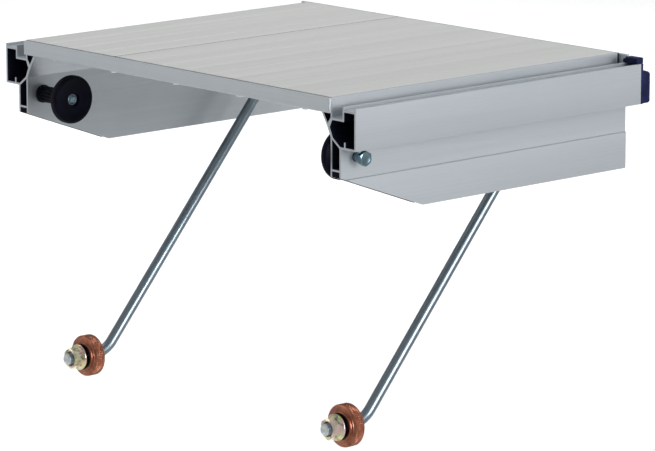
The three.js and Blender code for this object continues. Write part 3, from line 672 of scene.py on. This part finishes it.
def buildRail(name, side):
    place = lambda point, along: Vector((side * (deck["half"] + point.x), along, point.y))
    # The walls of the slot between the lower webs get painted shade.
    inSlot = lambda point: rails["slotFrom"] < point.x < rails["slotTo"] and point.y < rails["slotTop"]
    loops = [rounded(rails["outline"])]
    loops += [rounded(rails[hollow], rails["hollowRound"], 2) for hollow in ("box", "brace", "web")]
    bm = bmesh.new()
    runSection(bm, loops, place, 0.0, deck["depth"], rails["chamfer"], inSlot)
    slope = (rails["panelDrop"] - rails["noseDrop"]) / rails["noseLength"]
    low, high = besideDeck(side, *rails["cut"])

    def tilt(co):
        return Vector((co.x, co.y, -rails["noseDrop"] - slope * co.y)) if co.z > low.z / 2 else co
    wedge = bmesh.new()
    plainBox(wedge, low, high, tilt)
    bm = cutAway(bm, wedge)
    drill = bmesh.new()
    radius, half = rails["holeRadius"], rails["drillHalf"]
    turnProfile(drill, [(0, -half), (radius, -half), (radius, half), (0, half)],
                alongX(side * deck["half"], rails["holeY"], rails["holeZ"], side), rails["drillCount"])
    bm = cutAway(bm, drill)
    addPiece("rail" + name.capitalize(), bm, (railMetal, paintedShadeMetal), rootBody, ["rail_" + name])


# End caps: a plate on the box's end, a plug inside it and a rounded bumper. The right one has a nose over
# the lips. A box is two corners, the radius of its edges and the steps in them.
caps = {
    "boxes": {
        "plate": ((14.2, 375.0, -46.7), (32.0, 378.0, -7.0), 0.5, 3),
        "plug": ((16.5, 363.0, -39.4), (29.7, 375.5, -12.3), 0.6, 2),
        "nose": ((15.6, 369.0, -7.0), (32.0, 378.0, -1.0), 1.1, 4),
        "step": ((12.1, 369.6, -7.0), (16.5, 378.0, -3.2), 0.8, 3),
        "bumper": ((15.0, 376.0, -46.7), (32.0, 389.0, -12.5), 2.8, 6),
    },
    "rightOnly": ("nose", "step"), "slope": 4.0, "slopeFrom": 380.0, "slopeAbove": -20.0,
}


def buildCap(name, side):
    def slide(co):
        sloped = co.y > caps["slopeFrom"] and co.z > caps["slopeAbove"]
        return Vector((co.x, co.y, co.z - caps["slope"])) if sloped else co
    bm = bmesh.new()
    for key, (low, high, radius, segments) in caps["boxes"].items():
        if side > 0 or key not in caps["rightOnly"]:
            roundBox(bm, *besideDeck(side, low, high), radius, segments, slide if key == "bumper" else None)
    addPiece("endCap" + name.capitalize(), bm, (capPlastic,), rootBody, ["end_cap_" + name])


# Clamps: a hexagon bolt through both webs and a knob with a serrated rim. The left knob has a fluted neck.
boltThread = {"radius": 4.0, "depth": 0.68, "pitch": 1.25, "rowsPerTurn": 8, "taper": 0.9}
hexInset = 0.15  # how far inside the flats a chamfer starts
clamps = {
    "y": 19.0, "z": -56.0, "headUnder": 20.5, "headHeight": 5.3, "flats": 13.0, "plain": 16.0, "count": 48,
    "shank": {"left": 70.5, "right": 29.5}, "seat": 223.0, "knobCount": 384, "neckRadius": 8.2, "rimRadius": 24.0,
    "flutes": 16, "fluteDepth": 0.9, "teeth": 96, "toothDepth": 0.5, "sharpAngle": 40.0,
}


# A hexagon bolt along one axis: the head's top is dished and chamfered, and the thread runs to the shank's
# sawn end
def hexBolt(bm, place, flats, headHeight, shank, plain, thread, count):
    inner = flats / 2 - hexInset
    under = flats / 2 - 0.3
    dish = -headHeight + 0.35
    head = [
        (0, dish), (inner - 2.2, dish), (inner - 1.5, -headHeight), (inner, -headHeight),
        lambda angle: (hexReach(flats, angle), hexFall(flats, inner, angle) - headHeight),
        lambda angle: (hexReach(flats, angle), -0.5), (under, -0.4), (under, 0.0), (thread["radius"], 0.0),
        (thread["radius"], plain - 0.2),
    ]
    sawnEnd = [(2.5, shank), (2.1, shank - 0.35), (1.3, shank - 0.1), (0.9, shank - 0.35), (0, shank - 0.35)]
    turnProfile(bm, head + flipRows(threadRows(thread, shank - plain), shank) + sawnEnd, place, count)


def buildClamp(name, side):
    bm = bmesh.new()
    hexBolt(bm, alongX(side * (deck["half"] + clamps["headUnder"]), clamps["y"], clamps["z"], -side),
            clamps["flats"], clamps["headHeight"], clamps["shank"][name], clamps["plain"], boltThread,
            clamps["count"])
    addPiece("clampBolt" + name.capitalize(), bm, (boltZinc,), "clamp_bolt_" + name, ["clamp_bolt_" + name])

    def flute(along):
        depth = lambda angle: clamps["fluteDepth"] * valley(clamps["flutes"] * angle / (2 * math.pi)) ** 2
        return lambda angle: (clamps["neckRadius"] - depth(angle), along)

    def tooth(along):
        depth = lambda angle: clamps["toothDepth"] * valley(clamps["teeth"] * angle / (2 * math.pi))
        return lambda angle: (clamps["rimRadius"] - depth(angle), along)
    necked = [
        (4.6, 0.3), (8.5, 0.3), (8.9, 0.6), (9.0, 1.0), (9.0, 1.9), (8.8, 2.3), (8.2, 2.6),
        flute(3.4), flute(12.0), flute(26.0), flute(38.0),
        (8.2, 39.4), (8.6, 40.4), (9.6, 41.0), (21.6, 41.0), (22.6, 41.2), (23.3, 41.7),
        tooth(42.6), tooth(45.5), tooth(48.2), (23.3, 49.2), (22.5, 49.8), (21.4, 50.0),
        (20.4, 49.9), (19.6, 49.6), (9.0, 49.3), (7.6, 49.2), (7.1, 48.8), (7.0, 48.3), (7.0, 47.2), (6.8, 47.0),
        (5.8, 47.0), (5.8, 29.7), (4.6, 29.7),
    ]
    flat = [
        (5.8, 0.5), (6.0, 0.3), (18.0, 0.3), (18.6, 0.45), (22.4, 2.25), (23.2, 2.8),
        tooth(3.5), tooth(5.4), tooth(7.3), (23.3, 8.2), (22.5, 8.8), (21.4, 9.0),
        (20.4, 8.9), (19.6, 8.6), (9.0, 8.3), (7.6, 8.2), (7.1, 7.8), (7.0, 7.3), (7.0, 6.2), (6.8, 6.0),
        (5.8, 6.0),
    ]
    bm = bmesh.new()
    turnProfile(bm, {"left": necked, "right": flat}[name],
                alongX(side * clamps["seat"], clamps["y"], clamps["z"], -side), clamps["knobCount"], closed=True)
    addPiece("knob" + name.capitalize(), bm, (knobPlastic,), "knob_" + name, ["knob_" + name],
             clamps["sharpAngle"])


# Struts: a drawn rod with a forged eye, a bend and a threaded level end with a sawn face
rodThread = {"radius": 6.0, "depth": 0.95, "pitch": 1.75, "rowsPerTurn": 8, "taper": 1.3}
struts = {
    "x": 192.0, "pivotY": 314.7, "pivotZ": -36.0, "angle": 49.5, "endY": 19.61, "endZ": -322.5, "cornerY": 70.01,
    "radius": 5.5, "bend": 30.0, "bendSteps": 24, "count": 40, "straight": (4.0, 10.0, 60.0, 140.0, 220.0, 300.0),
    "threadLength": 34.4, "overlap": 0.6, "runOut": 0.9, "runOutRadius": 5.6, "sawnDepth": 2.0, "sawnRows": 3,
    "sawnEnd": ((0, 0.35), (1.4, 0.3), (1.8, 0.0), (2.6, 0.25), (3.2, 0.25), (3.6, 0.0), (4.4, 0.0), (4.9, 0.5)),
    "eye": ((4.3, -5.5, 0.5), (11.0, -5.5, 1.2), (11.0, 5.5, 1.2), (4.3, 5.5, 0.5)), "eyeSteps": 4, "eyeCount": 64,
}


# Places of the rod's rings: straight down from the eye, round the bend and along the level end
def rodRings(x):
    turn = math.radians(struts["angle"])
    tangent = struts["bend"] * math.tan(turn / 2)
    centreY, centreZ = struts["cornerY"] - tangent, struts["endZ"] + struts["bend"]
    stations = []
    for reach in struts["straight"]:
        stations.append((struts["pivotY"] - reach * math.cos(turn),
                         struts["pivotZ"] - reach * math.sin(turn), turn))
    for step in range(struts["bendSteps"] + 1):
        heading = turn * (1 - step / struts["bendSteps"])
        stations.append((centreY + struts["bend"] * math.sin(heading),
                         centreZ - struts["bend"] * math.cos(heading), heading))
    stations.append((struts["endY"] + struts["threadLength"] + struts["overlap"], struts["endZ"], 0.0))
    return [Matrix.Translation((x, y, z)) @ Matrix.Rotation(heading + math.pi / 2, 4, "X")
            for y, z, heading in stations]


def buildStrut(name, side):
    x = side * struts["x"]
    rings = rodRings(x)
    bm = bmesh.new()
    bmesh.ops.create_circle(bm, cap_ends=True, segments=struts["count"], radius=struts["radius"], matrix=rings[0])
    faces = list(bm.faces)
    for last, ring in zip(rings, rings[1:]):
        faces, moved = pushFaces(bm, faces)
        bmesh.ops.transform(bm, matrix=ring @ last.inverted(), verts=moved)
    rows = threadRows(rodThread, struts["threadLength"])[struts["sawnRows"]:]
    runOut = struts["threadLength"] + struts["runOut"]
    turnProfile(bm, [*struts["sawnEnd"], *rows, (struts["runOutRadius"], runOut), (0, runOut)],
                alongY(x, struts["endY"], struts["endZ"]), struts["count"])
    eye = [tuple(point) for point in rounded(struts["eye"], steps=struts["eyeSteps"])]
    turnProfile(bm, eye, alongX(x, struts["pivotY"], struts["pivotZ"], 1), struts["eyeCount"], closed=True)
    for face in bm.faces:  # the sawn end is brighter than the drawn rod
        face.material_index = int(face.calc_center_median().y < struts["endY"] + struts["sawnDepth"])
    addPiece("strut" + name.capitalize(), bm, (rodZinc, screwZinc), "strut_" + name, ["strut_" + name])


# Strut pivots: a hexagon bolt through the bracket's cheeks with its nut outside
pivots = {
    "inner": 183.0, "outer": 201.0, "flats": 13.0, "headHeight": 5.3, "shank": 26.8, "plain": 16.0, "count": 48,
    "nutHeight": 6.8, "bore": 4.3, "lead": 0.7,
}


# A hexagon nut with both faces chamfered and a lead into the bore
def hexNut(bm, place, flats, height, bore, lead, count):
    inner = flats / 2 - hexInset
    turnProfile(bm, [
        (bore, lead), (bore + lead, 0.0), (inner, 0.0),
        lambda angle: (hexReach(flats, angle), hexFall(flats, inner, angle)),
        lambda angle: (hexReach(flats, angle), height - hexFall(flats, inner, angle)),
        (inner, height), (bore + lead, height), (bore, height - lead),
    ], place, count, closed=True)


def buildPivot(name, side):
    bm = bmesh.new()
    hexBolt(bm, alongX(side * pivots["inner"], struts["pivotY"], struts["pivotZ"], side), pivots["flats"],
            pivots["headHeight"], pivots["shank"], pivots["plain"], boltThread, pivots["count"])
    addPiece("pivotBolt" + name.capitalize(), bm, (boltZinc,), rootBody, ["pivot_bolt_" + name])
    bm = bmesh.new()
    hexNut(bm, alongX(side * pivots["outer"], struts["pivotY"], struts["pivotZ"], side), pivots["flats"],
           pivots["nutHeight"], pivots["bore"], pivots["lead"], pivots["count"])
    addPiece("pivotNut" + name.capitalize(), bm, (boltZinc,), rootBody, ["pivot_nut_" + name])


# Strut ends: a flange nut in front, a thin dark washer and a knurled nut behind it
strutEnds = {
    "bore": 6.3, "nutY": 24.21, "flats": 19.0, "hexInset": 0.2, "nutCount": 96,
    "washerY": 38.41, "washer": 1.15, "washerRadius": 13.0, "washerRound": 0.25, "washerCount": 64,
    "knurlY": 39.61, "teeth": 64, "knurlCount": 320, "knurlRows": 30, "knurlDepth": 0.75, "knurlRadius": 20.75,
    "knurlStart": 3.5, "knurlEnd": 13.3, "knurlLean": 2.0, "sharpAngle": 28.0,
}


def buildStrutEnd(name, side):
    x, z = side * struts["x"], struts["endZ"]
    flats, bore = strutEnds["flats"], strutEnds["bore"]
    inner = flats / 2 - strutEnds["hexInset"]
    bm = bmesh.new()
    turnProfile(bm, [
        (bore, 1.2), (bore + 1.1, 0.0), (inner - 0.4, 0.0),
        lambda angle: (hexReach(flats, angle), hexFall(flats, inner, angle) + 0.25),
        lambda angle: (hexReach(flats, angle), 8.3), (12.2, 9.7), (12.8, 10.1), (13.0, 10.5), (13.0, 11.5),
        (12.8, 11.9), (12.4, 12.0), (bore + 0.6, 12.0), (bore, 11.4),
    ], alongY(x, strutEnds["nutY"], z), strutEnds["nutCount"], closed=True)
    addPiece("flangeNut" + name.capitalize(), bm, (nutZinc,), "strut_" + name, ["flange_nut_" + name])
    bm = bmesh.new()
    rim, thickness = strutEnds["washerRadius"], strutEnds["washer"]
    ring = rounded([(bore, 0.0), (rim, 0.0), (rim, thickness), (bore, thickness)], strutEnds["washerRound"], 2)
    turnProfile(bm, [tuple(point) for point in ring], alongY(x, strutEnds["washerY"], z),
                strutEnds["washerCount"], closed=True)
    addPiece("thrustWasher" + name.capitalize(), bm, (knobPlastic,), "washer_" + name, ["thrust_washer_" + name])

    def knurl(along):
        def spot(angle):
            turnShare = strutEnds["teeth"] * angle / (2 * math.pi)
            lean = along / strutEnds["knurlLean"]
            cut = max(valley(turnShare + lean), valley(turnShare - lean))
            return strutEnds["knurlRadius"] - strutEnds["knurlDepth"] * max(0.0, 2 * cut - 1), along
        return spot
    span = strutEnds["knurlEnd"] - strutEnds["knurlStart"]
    rows = [knurl(strutEnds["knurlStart"] + span * row / strutEnds["knurlRows"])
            for row in range(strutEnds["knurlRows"] + 1)]
    bm = bmesh.new()
    turnProfile(bm, [
        (bore, 0.8), (bore + 0.8, 0.0), (14.0, 0.0), (14.6, 0.15), (14.95, 0.5), (15.0, 0.9), (15.0, 1.5),
        (15.15, 1.8), (15.5, 1.9), (16.4, 1.9), (16.9, 2.0), (17.2, 2.25), (17.3, 2.55), (17.6, 2.7), (18.3, 2.72),
        (19.1, 2.85), (19.8, 3.1), *rows, (19.8, 13.9), (19.1, 14.25), (18.4, 14.4), (bore + 0.8, 14.4),
        (bore, 13.6),
    ], alongY(x, strutEnds["knurlY"], z), strutEnds["knurlCount"], closed=True)
    addPiece("knurledNut" + name.capitalize(), bm, (copper,), "nut_" + name, ["knurled_nut_" + name],
             strutEnds["sharpAngle"])


for sideName, sideSign in sides:
    buildRail(sideName, sideSign)
    buildCap(sideName, sideSign)
    buildClamp(sideName, sideSign)
    buildStrut(sideName, sideSign)
    buildPivot(sideName, sideSign)
    buildStrutEnd(sideName, sideSign)
    print(sideName, "side built")


# Simple pieces keep their solid and get softened edges, by this radius, and a real finish
kept = {
    "front_seal": (sealRubber, 0.0), "rear_seal": (sealRubber, 0.25),
    "knob_bush_left": (rodZinc, 0.3), "knob_bush_right": (rodZinc, 0.3),
    "strut_bracket_left": (boltZinc, 0.5), "strut_bracket_right": (boltZinc, 0.5),
}
softening = {"weldDistance": 0.01, "flatAngle": 1.0, "segments": 2, "edgeAngle": 35.0}


def finishKept():
    for name, (material, radius) in kept.items():
        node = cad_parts[name]
        node.data.materials.clear()
        node.data.materials.append(material)
        weld = node.modifiers.new("weld", "WELD")
        weld.merge_threshold = softening["weldDistance"] * toMetres
        flatten = node.modifiers.new("flatten", "DECIMATE")
        flatten.decimate_type = "DISSOLVE"
        flatten.angle_limit = math.radians(softening["flatAngle"])
        if radius > 0:
            bevel = node.modifiers.new("soften", "BEVEL")
            bevel.width = radius * toMetres
            bevel.segments = softening["segments"]
            bevel.limit_method = "ANGLE"
            bevel.angle_limit = math.radians(softening["edgeAngle"])


finishKept()
print("kept pieces finished")


# Floor, light and camera. A lamp is a place, a target, its width, its power and its spread.
studio = {
    "floorHalf": 40.0, "floorDrop": 0.45, "worldStrength": 0.5,
    "lamps": (
        ("topLamp", (0.1, 0.2, 2.5), (0.0, 0.2, 0.0), 1.4, 2.3, 50.0),
        ("rightLamp", (3.0, 0.4, 0.45), (0.2, 0.25, -0.05), 2.2, 10.4, 40.0),
        ("frontLamp", (-2.4, -2.4, 0.6), (0.0, 0.0, -0.02), 1.8, 1.7, 70.0),
        ("floorLamp", (-2.8, 2.55, 2.4), (-2.8, 2.55, 0.0), 5.2, 70.0, 105.0),
    ),
}
photoCamera = {
    "place": (2.9906, -2.5163, 0.65685), "azimuth": 47.73, "elevation": 11.61, "lens": 228.9, "sensor": 36.0,
    "clipEnd": 200.0,
}


def buildStage():
    height = cadLow.z - studio["floorDrop"]
    bm = bmesh.new()
    bmesh.ops.create_grid(bm, x_segments=1, y_segments=1, size=studio["floorHalf"],
                          matrix=Matrix.Translation((0.0, 0.0, height)))
    mesh = bpy.data.meshes.new("floor")
    bm.to_mesh(mesh)
    bm.free()
    mesh.materials.append(paleFloor())
    floor = bpy.data.objects.new("floor", mesh)
    bpy.context.scene.collection.objects.link(floor)
    world = bpy.data.worlds.new("softStudio")
    world.use_nodes = True
    background = world.node_tree.nodes["Background"]
    background.inputs["Color"].default_value = srgb("#ffffff")
    background.inputs["Strength"].default_value = studio["worldStrength"]
    bpy.context.scene.world = world
    for name, place, target, size, power, spread in studio["lamps"]:
        lamp = bpy.data.lights.new(name, "AREA")
        lamp.shape = "DISK"
        lamp.size = size
        lamp.energy = power
        lamp.spread = math.radians(spread)
        obj = bpy.data.objects.new(name, lamp)
        obj.location = place
        obj.rotation_euler = (Vector(target) - Vector(place)).to_track_quat("-Z", "Y").to_euler()
        bpy.context.scene.collection.objects.link(obj)


def buildCamera():
    azimuth, elevation = math.radians(photoCamera["azimuth"]), math.radians(photoCamera["elevation"])
    back = Vector((math.sin(azimuth) * math.cos(elevation), -math.cos(azimuth) * math.cos(elevation),
                   math.sin(elevation)))
    right = Vector((math.cos(azimuth), math.sin(azimuth), 0.0))
    up = back.cross(right)
    data = bpy.data.cameras.new("photoCamera")
    data.sensor_width = photoCamera["sensor"]
    data.lens = photoCamera["lens"]
    data.clip_end = photoCamera["clipEnd"]
    camera = bpy.data.objects.new("photoCamera", data)
    turn = Matrix((right, up, back)).transposed().to_4x4()
    camera.matrix_world = Matrix.Translation(photoCamera["place"]) @ turn
    bpy.context.scene.collection.objects.link(camera)
    bpy.context.scene.camera = camera


buildStage()
buildCamera()
bpy.context.scene.view_settings.view_transform = "Standard"
print("stage and camera set")
